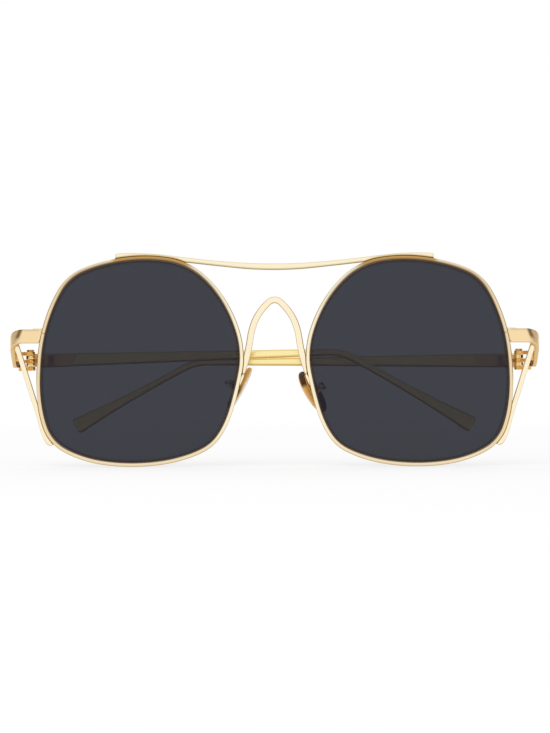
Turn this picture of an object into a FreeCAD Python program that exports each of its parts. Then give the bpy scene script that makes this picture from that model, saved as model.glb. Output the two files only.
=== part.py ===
import FreeCAD, Part
import math
import os

from FreeCAD import Placement, Rotation, Vector

# Oversized sunglasses in millimetres, laid out as worn. The front lies in the XZ plane and
# faces -Y, +Z is up and +X is the wearer's left. The temples are modelled folded.

# Lenses and the openings that show them
LENS_WIDTH = 57.0
LENS_HEIGHT = 57.9
LENS_SPACING = 19.0
LENS_THICKNESS = 2.0
LENS_RADIUS = 260.0
BEVEL_RING = 1.4
LENS_CLEARANCE = 0.02
# Outline of an opening as shares of its half width and half height, temporal side first,
# anticlockwise as the wearer's left lens is seen from the front.
OPENING_SHARES = (
    (0.997, -0.158), (0.955, 0.246), (0.852, 0.558), (0.688, 0.802),
    (0.403, 0.937), (-0.071, 1.0), (-0.488, 0.916), (-0.724, 0.723),
    (-0.909, 0.432), (-0.998, 0.088), (-0.941, -0.298), (-0.827, -0.636),
    (-0.706, -0.800), (-0.510, -0.906), (0.107, -1.0), (0.643, -0.906),
    (0.849, -0.777), (0.971, -0.487),
)

# Rims
RIM_WIDTH = 1.2
RIM_DEPTH = 2.0
RIM_ROUND = 0.38
GROOVE_DEPTH = 0.45
GROOVE_WIDTH = 0.9

# Brow bar
BAR_REACH = 6.9
BAR_LIFT = 0.85
BAR_DIP = 2.15
BAR_MID_HEIGHT = 1.85
BAR_KNEE_HEIGHT = 1.45
BAR_KNEE_FALL = 0.75
BAR_KNEE_REACH = 22.0
BAR_END_FALL = 0.15
BAR_END_ROUND = 0.6
BAR_SEAT = 0.9
BAR_DEPTH = 1.7

# Bridge arch, as shares of the half span between the rims and drops below its crown
BRIDGE_CROWN = 17.3
BRIDGE_STRIP = 1.85
BRIDGE_DEPTH = 1.5
BRIDGE_SHARES = (0.333, 0.69, 0.862, 1.034, 1.218)
BRIDGE_DROPS = (1.9, 7.2, 14.5, 19.8, 23.8)

# End pieces: a tab in front, a bend, and an arm that slopes down to the temple
STRIP_THICKNESS = 1.2
TAB_LEVEL = 7.9
TAB_HEIGHT = 3.9
TAB_SETBACK = 0.2
SIDE_OVERHANG = 8.4
BEND_RADIUS = 4.0
SLOPE_START = -0.8
SLOPE_END = 8.8

# Side struts
STRUT_WIDTH = 1.5
STRUT_DEPTH = 1.3
STRUT_TOP_INSET = 1.3
STRUT_TOP_LEVEL = 6.1
STRUT_TOP_BACK = 3.0
STRUT_MEET_LEVEL = -15.5
STRUT_MEET_PROUD = 0.3
STRUT_FOOT_LEVEL = -20.3
STRUT_FOOT_PROUD = 0.5
STRUT_END_LEVEL = -23.9
STRUT_END_INSET = 2.1
# Shares of the way from a strut's top to where it meets the rim that lie on a straight line
STRUT_STRAIGHT_SHARES = (0, 0.4, 0.8)

# Rim locks: two blocks drawn together by a screw behind each tab
LOCK_WIDTH = 2.3
LOCK_DEPTH = 2.2
LOCK_BLOCK_HEIGHT = 1.45
LOCK_SLIT = 0.1
LOCK_SCREW_RADIUS = 0.55
LOCK_HEAD_RADIUS = 0.9
LOCK_HEAD_HEIGHT = 0.4

# Hinges
HINGE_INSET = 5.0
HINGE_BACK = 9.5
HINGE_HEIGHT = 5.4
KNUCKLES = 5
KNUCKLE_RADIUS = 1.3
KNUCKLE_GAP = 0.08
PIN_RADIUS = 0.6
PIN_CLEARANCE = 0.04
HINGE_HEAD_RADIUS = 1.05
HINGE_HEAD_HEIGHT = 0.6
LEAF_THICKNESS = 0.9
FRONT_LEAF_LENGTH = 3.2
TEMPLE_LEAF_LENGTH = 12.7
TEMPLE_LEAF_SLANT = 1.6
TEMPLE_LEAF_MARGIN = 0.5
BUTT_GAP = 0.12
SLOT_WIDTH = 0.25
SLOT_DEPTH = 0.25

# Temples
TEMPLE_LEVEL = 0.15
TEMPLE_LENGTH = 132.2
TEMPLE_HEIGHT = 4.2
TEMPLE_NECK_RUN = 66.0
TEMPLE_NECK_HEIGHT = 2.4
TEMPLE_WAIST = 2.0
TIP_HEIGHT = 4.8
TIP_MID_HEIGHT = 2.4
TIP_BEND_RADIUS = 14.0
TIP_CORNER = 0.9
# Where each tip is bent down by hand and how far, how far each temple is folded from straight
# back, and how far it climbs when folded
LEFT_BEND_RUN = 93.0
RIGHT_BEND_RUN = 89.2
LEFT_TIP_ANGLE = 28.2
RIGHT_TIP_ANGLE = 31.0
LEFT_FOLD_ANGLE = 89.5
RIGHT_FOLD_ANGLE = 91.5
LEFT_CLIMB_ANGLE = -0.2
RIGHT_CLIMB_ANGLE = 1.55

# Nose pads
PAD_LENGTH = 13.2
PAD_WIDTH = 7.6
PAD_THICKNESS = 2.3
PAD_ROUND = 0.8
PAD_BACK = 7.2
# Where each pad stands and how it is turned, as its arm is bent by hand
LEFT_PAD_OUT = 10.75
RIGHT_PAD_OUT = 9.95
LEFT_PAD_LEVEL = -8.8
RIGHT_PAD_LEVEL = -7.7
LEFT_SPLAY_ANGLE = 28.0
RIGHT_SPLAY_ANGLE = 5.0
LEFT_LEAN_ANGLE = 31.0
RIGHT_LEAN_ANGLE = 28.0
CORE_LENGTH = 11.0
CORE_WIDTH = 5.4
CORE_THICKNESS = 0.5
CORE_TAB_THICKNESS = 1.1
CORE_TAB_BREADTH = 1.8
CORE_TAB_REACH = 2.0
BOX_WALL = 0.5
BOX_BREADTH = 2.2
BOX_CLEARANCE = 0.08
BOX_LIFT = 0.25
PAD_SCREW_RADIUS = 0.4
PAD_HEAD_RADIUS = 0.7
PAD_HEAD_HEIGHT = 0.4
ARM_RADIUS = 0.5
ARM_BURY = 0.25

# A length that passes right through any piece that it is cut from
THROUGH = 60.0
# Differences below these count as none
SAME_DIRECTION = 1e-9
FLAT_SAGITTA = 1e-5

HALF_SPACING = (LENS_WIDTH + LENS_SPACING) / 2
OPENING_HALF_WIDTH = LENS_WIDTH / 2 - GROOVE_DEPTH
OPENING_HALF_HEIGHT = LENS_HEIGHT / 2 - GROOVE_DEPTH
RIM_TOP = OPENING_HALF_HEIGHT + RIM_WIDTH
NASAL_EDGE = HALF_SPACING - OPENING_HALF_WIDTH - RIM_WIDTH
SIDE_X = HALF_SPACING + LENS_WIDTH / 2 + SIDE_OVERHANG
SIDE_INNER = SIDE_X - STRIP_THICKNESS
TAB_FRONT = TAB_SETBACK - RIM_DEPTH / 2
HINGE_POINT = Vector(SIDE_X - HINGE_INSET, HINGE_BACK, TEMPLE_LEVEL)


def front(u, v, depth):
    """Point on a plane facing the viewer: u to the right, v up."""
    return Vector(u, depth, v)


def side(u, v, depth):
    """Point on a plane seen from the side: u to the back, v up."""
    return Vector(depth, u, v)


def plan(u, v, depth):
    """Point on a level plane: u to the right, v to the back."""
    return Vector(u, v, depth)


def smooth_path(points, closed):
    """Chain of tangent arcs through points, as (point, tangent) stations with one arc between."""
    knots = [Vector(u, v, 0) for u, v in points]
    spline = Part.BSplineCurve()
    spline.interpolate(Points=knots, PeriodicFlag=closed)
    tangents = [spline.tangent(spline.parameter(knot))[0] for knot in knots]
    stations = list(zip(knots, tangents))
    following = stations[1:] + (stations[:1] if closed else [])
    path = []
    for station, after in zip(stations, following):
        path.append(station)
        path.append(arc_joint(*station, *after))
    if not closed:
        path.append(stations[-1])
    return path


def arc_joint(start, start_tangent, end, end_tangent):
    """Station where two tangent arcs meet between two stations."""
    chord = end - start
    sum_along = chord.dot(start_tangent + end_tangent)
    spread = 2 * (1 - start_tangent.dot(end_tangent))
    if spread > SAME_DIRECTION:
        reach = (math.sqrt(sum_along ** 2 + spread * chord.dot(chord)) - sum_along) / spread
    else:
        reach = chord.dot(chord) / (2 * sum_along)
    first = start + start_tangent * reach
    second = end - end_tangent * reach
    return (first + second) * 0.5, (second - first).normalize()


def offset_path(path, distance):
    """Parallel path, to the right of its direction for a positive distance."""
    return [(point + Vector(along.y, -along.x, 0) * distance, along) for point, along in path]


def path_edges(path, closed, plane, depth):
    """Arc and line edges of a path on one of the planes."""
    edges = []
    following = path[1:] + (path[:1] if closed else [])
    for (start, along), (end, after) in zip(path, following):
        chord = end - start
        lean = math.asin((along.x * chord.y - along.y * chord.x) / chord.Length)
        sagitta = math.tan(lean / 2) / 2
        middle = (start + end) * 0.5 + Vector(chord.y, -chord.x, 0) * sagitta
        corners = [plane(p.x, p.y, depth) for p in (start, middle, end)]
        if abs(sagitta) * chord.Length < FLAT_SAGITTA:
            edges.append(Part.LineSegment(corners[0], corners[2]).toShape())
        else:
            edges.append(Part.Arc(*corners).toShape())
    return edges


def prism(edges, plane, height):
    """Solid raised from a closed run of edges along its plane's normal."""
    wire = Part.Wire(Part.__sortEdges__(edges))
    return Part.Face(wire).extrude(plane(0, 0, height))


def closed_prism(path, low, high, plane=front):
    """Solid with a closed path for its outline."""
    return prism(path_edges(path, True, plane, low), plane, high - low)


def band_prism(upper, lower, low, high, plane):
    """Solid between two open paths that run the same way."""
    edges = path_edges(upper, False, plane, low) + path_edges(lower, False, plane, low)
    for end in (0, -1):
        pair = [plane(p.x, p.y, low) for p, _ in (upper[end], lower[end])]
        edges.append(Part.LineSegment(*pair).toShape())
    return prism(edges, plane, high - low)


def strip_prism(points, width, low, high, plane=front):
    """Solid strip of one width along a smooth open path."""
    path = smooth_path(points, False)
    return band_prism(offset_path(path, width / 2), offset_path(path, -width / 2), low, high, plane)


def polygon_prism(points, low, high, plane):
    """Solid with a straight-sided outline."""
    corners = [plane(u, v, low) for u, v in points]
    wire = Part.makePolygon(corners + corners[:1])
    return Part.Face(wire).extrude(plane(0, 0, high - low))


def block(x_range, y_range, z_range):
    """Box from its ranges."""
    low = Vector(x_range[0], y_range[0], z_range[0])
    return Part.makeBox(x_range[1] - low.x, y_range[1] - low.y, z_range[1] - low.z, low)


def reach_at(solid, level):
    """Furthest X of a solid at one level."""
    return max(wire.BoundBox.XMax for wire in solid.slice(Vector(0, 0, 1), level))


def slotted_screw(shank_radius, shank_length, head_radius, head_height, placement):
    """Screw from its head's seat: the shank runs down -Z and the slotted head stands up +Z."""
    shank = Part.makeCylinder(shank_radius, shank_length, Vector(0, 0, -shank_length))
    head = Part.makeCylinder(head_radius, head_height)
    across = (-THROUGH, THROUGH)
    half_slot = (-SLOT_WIDTH / 2, SLOT_WIDTH / 2)
    slot = block(across, half_slot, (head_height - SLOT_DEPTH, head_height + SLOT_DEPTH))
    screw = shank.fuse(head).removeSplitter().cut(slot)
    screw.Placement = placement
    return screw


# The wearer's left eye

opening = smooth_path(
    [(HALF_SPACING + u * OPENING_HALF_WIDTH, v * OPENING_HALF_HEIGHT) for u, v in OPENING_SHARES], True)
rim_outline = offset_path(opening, RIM_WIDTH)
rim_blank = closed_prism(rim_outline, -RIM_DEPTH / 2, RIM_DEPTH / 2)
rim_column = closed_prism(rim_outline, -THROUGH, THROUGH)


def make_rim():
    """Eyewire with a groove for the lens, rounded outside and cut through at its lock."""
    outer_edges = [edge for edge in rim_blank.Edges if abs(edge.tangentAt(edge.FirstParameter).y) < 0.5]
    ring = rim_blank.makeFillet(RIM_ROUND, outer_edges)
    ring = ring.cut(closed_prism(opening, -RIM_DEPTH, RIM_DEPTH))
    groove = offset_path(opening, GROOVE_DEPTH)
    ring = ring.cut(closed_prism(groove, -GROOVE_WIDTH / 2, GROOVE_WIDTH / 2))
    slit = (TAB_LEVEL - LOCK_SLIT / 2, TAB_LEVEL + LOCK_SLIT / 2)
    return ring.cut(block((HALF_SPACING, SIDE_X), (-RIM_DEPTH, RIM_DEPTH), slit))


def make_lens():
    """Meniscus lens with a flat bevel ring that sits in the groove.

    The bevel's plane halves the lens's edge midway between its nearest and furthest points.
    """
    reaches = [math.hypot(point.x - HALF_SPACING, point.y) for point, _ in opening]
    mean_square = (min(reaches) ** 2 + max(reaches) ** 2) / 2
    sag = LENS_RADIUS - math.sqrt(LENS_RADIUS ** 2 - mean_square)
    centre = Vector(HALF_SPACING, LENS_RADIUS - sag, 0)
    outside = Part.makeSphere(LENS_RADIUS + LENS_THICKNESS / 2, centre)
    inside = Part.makeSphere(LENS_RADIUS - LENS_THICKNESS / 2, centre)
    blank = closed_prism(offset_path(opening, -LENS_CLEARANCE), -THROUGH, THROUGH)
    lens = blank.common(outside).cut(inside)
    half_bevel = GROOVE_WIDTH / 2 - LENS_CLEARANCE
    bevel = closed_prism(offset_path(opening, GROOVE_DEPTH - LENS_CLEARANCE), -half_bevel, half_bevel)
    bevel = bevel.cut(closed_prism(offset_path(opening, -BEVEL_RING), -RIM_DEPTH, RIM_DEPTH))
    return lens.fuse(bevel).removeSplitter()


def side_band():
    """Slab that gives the end piece its height, from the tab down to the temple."""
    middle = (SLOPE_START + SLOPE_END) / 2
    quarter = (SLOPE_END - SLOPE_START) / 4
    edges = []
    for sign in (1, -1):
        tab_edge = TAB_LEVEL + sign * TAB_HEIGHT / 2
        temple_edge = TEMPLE_LEVEL + sign * TEMPLE_HEIGHT / 2
        halfway = (tab_edge + temple_edge) / 2
        swell = (tab_edge - temple_edge) / 4
        edges.append(smooth_path([
            (SLOPE_START - 2 * quarter, tab_edge), (SLOPE_START, tab_edge - swell / 4),
            (middle - quarter, halfway + swell), (middle + quarter, halfway - swell),
            (SLOPE_END, temple_edge + swell / 4), (SLOPE_END + 2 * quarter, temple_edge)], False))
    return band_prism(edges[0], edges[1], 0, SIDE_X + THROUGH, side)


def make_end_piece():
    """Strip from the rim's side round the bend to the temple's butt."""
    bend = SIDE_X - BEND_RADIUS
    bend_end = TAB_FRONT + BEND_RADIUS
    inner_radius = BEND_RADIUS - STRIP_THICKNESS
    butt = HINGE_BACK - BUTT_GAP / 2
    root = HALF_SPACING + OPENING_HALF_WIDTH / 2
    diagonal = math.sqrt(0.5)
    corners = {
        "root": (root, TAB_FRONT), "bend": (bend, TAB_FRONT),
        "turn": (bend + BEND_RADIUS * diagonal, bend_end - BEND_RADIUS * diagonal),
        "side": (SIDE_X, bend_end), "butt": (SIDE_X, butt), "inner_butt": (SIDE_INNER, butt),
        "inner_side": (SIDE_INNER, bend_end),
        "inner_turn": (bend + inner_radius * diagonal, bend_end - inner_radius * diagonal),
        "inner_bend": (bend, TAB_FRONT + STRIP_THICKNESS), "inner_root": (root, TAB_FRONT + STRIP_THICKNESS),
    }
    at = {name: plan(u, v, -THROUGH) for name, (u, v) in corners.items()}
    runs = ("root bend", "side butt", "butt inner_butt", "inner_butt inner_side",
            "inner_bend inner_root", "inner_root root")
    edges = [Part.LineSegment(*[at[name] for name in run.split()]).toShape() for run in runs]
    for turn in ("bend turn side", "inner_side inner_turn inner_bend"):
        edges.append(Part.Arc(*[at[name] for name in turn.split()]).toShape())
    return prism(edges, plan, 2 * THROUGH).common(side_band()).cut(rim_column)


def make_strut(end_piece):
    """Flat bar from the end piece down to a foot beside the rim's lower corner."""
    top = (SIDE_X - STRUT_TOP_INSET, STRUT_TOP_LEVEL)
    meet = (reach_at(rim_blank, STRUT_MEET_LEVEL) + STRUT_MEET_PROUD, STRUT_MEET_LEVEL)
    foot = (reach_at(rim_blank, STRUT_FOOT_LEVEL) + STRUT_FOOT_PROUD, STRUT_FOOT_LEVEL)
    end = (foot[0] - STRUT_END_INSET, STRUT_END_LEVEL)
    run = [(top[0] + (meet[0] - top[0]) * share, top[1] + (meet[1] - top[1]) * share)
           for share in STRUT_STRAIGHT_SHARES]
    face = strip_prism(run + [meet, foot, end], STRUT_WIDTH, -THROUGH, THROUGH)
    lower = [(STRUT_TOP_BACK, STRUT_TOP_LEVEL + STRUT_DEPTH), (0, STRUT_MEET_LEVEL),
             (0, STRUT_END_LEVEL - STRUT_DEPTH)]
    half = STRUT_DEPTH / 2
    outline = [(y - half, z) for y, z in lower] + [(y + half, z) for y, z in reversed(lower)]
    depth = polygon_prism(outline, 0, SIDE_X + THROUGH, side)
    strut = face.common(depth).cut(rim_column).cut(end_piece)
    return max(strut.Solids, key=lambda solid: solid.Volume)


def make_lock():
    """Upper block, lower block and screw that close the rim behind the tab."""
    edge = reach_at(rim_blank, TAB_LEVEL)
    back = TAB_FRONT + STRIP_THICKNESS
    x_range = (edge - RIM_WIDTH / 2, edge + LOCK_WIDTH)
    y_range = (back, back + LOCK_DEPTH)
    middle = Vector(edge + LOCK_WIDTH / 2, back + LOCK_DEPTH / 2, 0)
    bore = Part.makeCylinder(LOCK_SCREW_RADIUS, 2 * THROUGH, middle - Vector(0, 0, THROUGH))
    half_slit = LOCK_SLIT / 2
    blocks = []
    for sign in (1, -1):
        levels = sorted(TAB_LEVEL + sign * rise for rise in (half_slit, half_slit + LOCK_BLOCK_HEIGHT))
        blocks.append(block(x_range, y_range, levels).cut(rim_blank).cut(bore))
    seat = middle + Vector(0, 0, TAB_LEVEL - half_slit - LOCK_BLOCK_HEIGHT)
    length = 2 * LOCK_BLOCK_HEIGHT + LOCK_SLIT
    upside_down = Placement(seat, Rotation(Vector(1, 0, 0), 180))
    screw = slotted_screw(LOCK_SCREW_RADIUS, length, LOCK_HEAD_RADIUS, LOCK_HEAD_HEIGHT, upside_down)
    return blocks[0], blocks[1], screw


def knuckle_stack(first, tilt, sign):
    """Every second knuckle of a hinge from the first one, each with its arm to the leaf.

    The arms lie on the temple's side of the pin for a positive sign.
    """
    pitch = HINGE_HEIGHT / KNUCKLES
    arm_y = sorted((0, sign * KNUCKLE_RADIUS))
    pieces = []
    for index in range(first, KNUCKLES, 2):
        low = -HINGE_HEIGHT / 2 + index * pitch + (KNUCKLE_GAP / 2 if index else 0)
        high = -HINGE_HEIGHT / 2 + (index + 1) * pitch - (KNUCKLE_GAP / 2 if index < KNUCKLES - 1 else 0)
        knuckle = Part.makeCylinder(KNUCKLE_RADIUS, high - low, Vector(0, 0, low))
        arm = block((0, HINGE_INSET - STRIP_THICKNESS - LEAF_THICKNESS / 2), arm_y, (low, high))
        pieces.append(knuckle.fuse(arm))
    return tilted(Part.makeCompound(pieces), tilt)


def hinge_bore(radius, tilt):
    """Cylinder along a hinge's axis."""
    return tilted(Part.makeCylinder(radius, 2 * THROUGH, Vector(0, 0, -THROUGH)), tilt)


def tilted(shape, tilt):
    """Copy of a shape built about the origin, leaned over and set on the hinge point."""
    copy = shape.copy()
    copy.Placement = Placement(HINGE_POINT, Rotation(Vector(0, 1, 0), tilt))
    return copy


def make_front_leaf(tilt):
    """Leaf on the end piece with the outer knuckles."""
    levels = (TEMPLE_LEVEL - HINGE_HEIGHT / 2, TEMPLE_LEVEL + HINGE_HEIGHT / 2)
    plate_y = (HINGE_BACK - FRONT_LEAF_LENGTH, HINGE_BACK - BUTT_GAP / 2)
    plate = block((SIDE_INNER - LEAF_THICKNESS, SIDE_INNER), plate_y, levels).common(side_band())
    leaf = plate.fuse(knuckle_stack(0, tilt, -1).Solids)
    return leaf.cut(hinge_bore(PIN_RADIUS, tilt)).removeSplitter()


def make_hinge_screw(tilt):
    """Screw down the middle of the knuckles."""
    rise = Rotation(Vector(0, 1, 0), tilt)
    seat = HINGE_POINT + rise.multVec(Vector(0, 0, HINGE_HEIGHT / 2))
    return slotted_screw(PIN_RADIUS, HINGE_HEIGHT, HINGE_HEAD_RADIUS, HINGE_HEAD_HEIGHT,
                         Placement(seat, rise))


def make_temple(bend_run, tip_angle):
    """Flat temple, open: a run that tapers to a neck, a bend and a paddle-shaped tip."""
    start = HINGE_BACK + BUTT_GAP / 2
    corner = HINGE_BACK + bend_run
    drop = math.radians(tip_angle)
    tangent = TIP_BEND_RADIUS * math.tan(drop / 2)
    along = Vector(math.cos(drop), -math.sin(drop), 0)
    across = Vector(math.sin(drop), math.cos(drop), 0)
    half_drop = Vector(math.sin(drop / 2), math.cos(drop / 2), 0)
    level = Vector(0, TEMPLE_LEVEL, 0)
    bend_start = Vector(corner - tangent, 0, 0) + level
    bend_end = Vector(corner, 0, 0) + level + along * tangent
    bend_centre = bend_start - Vector(0, TIP_BEND_RADIUS, 0)
    tip = Vector(corner, 0, 0) + level + along * (TEMPLE_LENGTH - bend_run)
    neck = Vector(HINGE_BACK + TEMPLE_NECK_RUN, 0, 0) + level
    rows = []
    for sign in (1, -1):
        waist = sign * TEMPLE_WAIST / 2
        rows.append([
            Vector(start, 0, 0) + level + Vector(0, sign * TEMPLE_HEIGHT / 2, 0),
            neck + Vector(0, sign * TEMPLE_NECK_HEIGHT / 2, 0),
            bend_start + Vector(0, waist, 0), bend_centre + half_drop * (TIP_BEND_RADIUS + waist),
            bend_end + across * waist, (bend_end + tip) * 0.5 + across * (sign * TIP_MID_HEIGHT / 2),
            tip + across * (sign * TIP_HEIGHT / 2)])
    edges = []
    for row in rows:
        at = [side(p.x, p.y, SIDE_INNER) for p in row]
        edges.append(Part.LineSegment(at[0], at[1]).toShape())
        edges.append(Part.LineSegment(at[1], at[2]).toShape())
        edges.append(Part.Arc(at[2], at[3], at[4]).toShape())
        edges.append(Part.Arc(at[4], at[5], at[6]).toShape())
    for end in (0, -1):
        pair = [side(row[end].x, row[end].y, SIDE_INNER) for row in rows]
        edges.append(Part.LineSegment(*pair).toShape())
    temple = prism(edges, side, STRIP_THICKNESS)
    behind = bend_end.x
    corners = [edge for edge in temple.Edges
               if edge.BoundBox.XLength > STRIP_THICKNESS / 2 and edge.BoundBox.YMin > behind
               and edge.BoundBox.YLength < TIP_CORNER]
    return temple.makeFillet(TIP_CORNER, corners)


def make_temple_leaf(tilt):
    """Leaf on the temple's inner face with the inner knuckles and a slanted end."""
    half = TEMPLE_HEIGHT / 2 - TEMPLE_LEAF_MARGIN
    start = HINGE_BACK + BUTT_GAP / 2
    end = HINGE_BACK + TEMPLE_LEAF_LENGTH
    outline = [(start, TEMPLE_LEVEL - half), (end - TEMPLE_LEAF_SLANT, TEMPLE_LEVEL - half),
               (end, TEMPLE_LEVEL + half), (start, TEMPLE_LEVEL + half)]
    plate = polygon_prism(outline, SIDE_INNER - LEAF_THICKNESS, SIDE_INNER, side)
    leaf = plate.fuse(knuckle_stack(1, tilt, 1).Solids)
    return leaf.cut(hinge_bore(PIN_RADIUS + PIN_CLEARANCE, tilt)).removeSplitter()


def folded(shape, fold, tilt):
    """Copy of an open temple piece turned about its hinge."""
    return shape.rotated(HINGE_POINT, Rotation(Vector(0, 1, 0), tilt).multVec(Vector(0, 0, 1)), fold)


# Levels outward from the middle of a pad, along its own X
PAD_FACE = PAD_THICKNESS / 2
CORE_TAB_END = PAD_FACE + CORE_TAB_REACH
SCREW_OUT = PAD_FACE + CORE_TAB_REACH / 2
BOX_FLOOR = CORE_TAB_END + BOX_LIFT
BOX_BACK = BOX_FLOOR + BOX_WALL
BOX_HALF = CORE_TAB_THICKNESS / 2 + BOX_CLEARANCE


def pad_placement(out, level, splay, lean):
    """Where a pad's middle stands and how the pad is turned."""
    turn = Rotation(Vector(0, 1, 0), -lean) * Rotation(Vector(0, 0, 1), -splay)
    return Placement(Vector(out, PAD_BACK, level), turn)


def placed_on_pad(shape, pad_place):
    """Copy of a shape built about a pad's middle, set where the pad stands."""
    copy = shape.copy()
    copy.Placement = pad_place.multiply(copy.Placement)
    return copy


def oval_plate(length, width, thickness):
    """Oval plate in the plane of a pad, its outer face level with the pad's."""
    oval = Part.Ellipse(Vector(0, 0, 0), length / 2, width / 2).toShape()
    plate = Part.Face(Part.Wire([oval])).extrude(Vector(0, 0, thickness))
    plate.Placement = Placement(Vector(PAD_FACE, 0, 0), Rotation(Vector(0, 1, 0), -90))
    return plate


def make_pad_core():
    """Oval metal core plate with the tab that the box holds."""
    plate = oval_plate(CORE_LENGTH, CORE_WIDTH, CORE_THICKNESS)
    tab = block((PAD_FACE - CORE_THICKNESS, CORE_TAB_END), (-CORE_TAB_THICKNESS / 2, CORE_TAB_THICKNESS / 2),
                (-CORE_TAB_BREADTH / 2, CORE_TAB_BREADTH / 2))
    bore = Part.makeCylinder(PAD_SCREW_RADIUS + PIN_CLEARANCE, 2 * THROUGH,
                             Vector(SCREW_OUT, -THROUGH, 0), Vector(0, 1, 0))
    return plate.fuse(tab).removeSplitter().cut(bore)


def make_nose_pad(core):
    """Oval silicone pad moulded round the core plate."""
    body = oval_plate(PAD_LENGTH, PAD_WIDTH, PAD_THICKNESS)
    rounds = [edge for edge in body.Edges if edge.BoundBox.XLength < PAD_THICKNESS / 2]
    return body.makeFillet(PAD_ROUND, rounds).cut(core)


def make_pad_box():
    """U-shaped box that holds the tab between two ears."""
    outer = BOX_HALF + BOX_WALL
    height = (-BOX_BREADTH / 2, BOX_BREADTH / 2)
    ear_front = PAD_FACE + BOX_LIFT
    body = block((ear_front, BOX_BACK), (-outer, outer), height)
    body = body.cut(block((ear_front - BOX_WALL, BOX_FLOOR), (-BOX_HALF, BOX_HALF),
                          (-BOX_BREADTH, BOX_BREADTH)))
    bore = Part.makeCylinder(PAD_SCREW_RADIUS, 2 * THROUGH, Vector(SCREW_OUT, -THROUGH, 0), Vector(0, 1, 0))
    return body.cut(bore)


def make_pad_screw():
    """Screw through the box and the tab, its head on the back ear."""
    outer = BOX_HALF + BOX_WALL
    place = Placement(Vector(SCREW_OUT, outer, 0), Rotation(Vector(1, 0, 0), -90))
    return slotted_screw(PAD_SCREW_RADIUS, 2 * outer, PAD_HEAD_RADIUS, PAD_HEAD_HEIGHT, place)


def make_pad_arm(box, pad_place):
    """Bent wire from the rim's back to the pad box."""
    inward = pad_place.Rotation.multVec(Vector(-1, 0, 0))
    end = pad_place.multVec(Vector(BOX_BACK - ARM_BURY, 0, 0))
    arrival = Vector(inward.x, inward.y, 0).normalize()
    nasal = min(wire.BoundBox.XMin for wire in rim_blank.slice(Vector(0, 0, 1), end.z))
    start = Vector(nasal + RIM_WIDTH / 2, RIM_DEPTH / 2, 0)
    finish = Vector(end.x, end.y, 0)
    leave = Vector(0, 1, 0)
    path = [(start, leave), arc_joint(start, leave, finish, arrival), (finish, arrival)]
    spine = Part.Wire(path_edges(path, False, plan, end.z))
    circle = Part.Circle(Vector(start.x, start.y, end.z), leave, ARM_RADIUS).toShape()
    return spine.makePipeShell([Part.Wire([circle])], True, True).cut(box)


def make_brow_bar():
    """Bar over both rims that dips between them, its upper corners rounded at the ends."""
    crest = RIM_TOP + BAR_LIFT
    middle = RIM_TOP - BAR_DIP
    knee = RIM_TOP - BAR_KNEE_FALL
    reach = HALF_SPACING + BAR_REACH
    upper = [(0, middle), (BAR_KNEE_REACH, knee), (HALF_SPACING, crest), (reach, crest - BAR_END_FALL)]
    sunk = RIM_TOP - BAR_SEAT
    lower = [(0, middle - BAR_MID_HEIGHT), (BAR_KNEE_REACH, knee - BAR_KNEE_HEIGHT),
             (HALF_SPACING, sunk), (reach, sunk - BAR_END_FALL)]
    paths = [smooth_path([(-x, z) for x, z in reversed(row[1:])] + row, False) for row in (upper, lower)]
    bar = band_prism(paths[0], paths[1], -BAR_DEPTH / 2, BAR_DEPTH / 2, front)
    corners = [edge for edge in bar.Edges
               if abs(edge.CenterOfMass.x) > reach - BAR_END_ROUND / 2 and edge.CenterOfMass.z > RIM_TOP
               and edge.BoundBox.YLength > BAR_DEPTH / 2]
    return bar.makeFillet(BAR_END_ROUND, corners).cut([rim_column, mirrored(rim_column)])


def make_bridge():
    """Arched strip with its feet laid along the rims."""
    half = [(share * NASAL_EDGE, BRIDGE_CROWN - drop)
            for share, drop in zip(BRIDGE_SHARES, BRIDGE_DROPS)]
    points = [(-x, z) for x, z in reversed(half)] + [(0, BRIDGE_CROWN)] + half
    arch = strip_prism(points, BRIDGE_STRIP, -BRIDGE_DEPTH / 2, BRIDGE_DEPTH / 2)
    arch = arch.cut([rim_column, mirrored(rim_column)])
    return max(arch.Solids, key=lambda solid: solid.Volume)


def mirrored(shape):
    """Copy for the wearer's other side."""
    return shape.mirror(Vector(0, 0, 0), Vector(1, 0, 0))


def make_side(bend_run, tip_angle, fold, tilt, pad_place):
    """Pieces of one eye and its temple, built on the wearer's left."""
    end_piece = make_end_piece()
    upper_lock, lower_lock, lock_screw = make_lock()
    core = make_pad_core()
    box = placed_on_pad(make_pad_box(), pad_place)
    return {
        "rim": make_rim(),
        "lens": make_lens(),
        "end_piece": end_piece,
        "side_strut": make_strut(end_piece),
        "rim_lock_upper": upper_lock,
        "rim_lock_lower": lower_lock,
        "rim_lock_screw": lock_screw,
        "hinge_front_leaf": make_front_leaf(tilt),
        "hinge_screw": make_hinge_screw(tilt),
        "hinge_temple_leaf": folded(make_temple_leaf(tilt), fold, tilt),
        "temple": folded(make_temple(bend_run, tip_angle), fold, tilt),
        "pad_arm": make_pad_arm(box, pad_place),
        "pad_box": box,
        "pad_screw": placed_on_pad(make_pad_screw(), pad_place),
        "pad_core": placed_on_pad(core, pad_place),
        "nose_pad": placed_on_pad(make_nose_pad(core), pad_place),
    }


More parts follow.
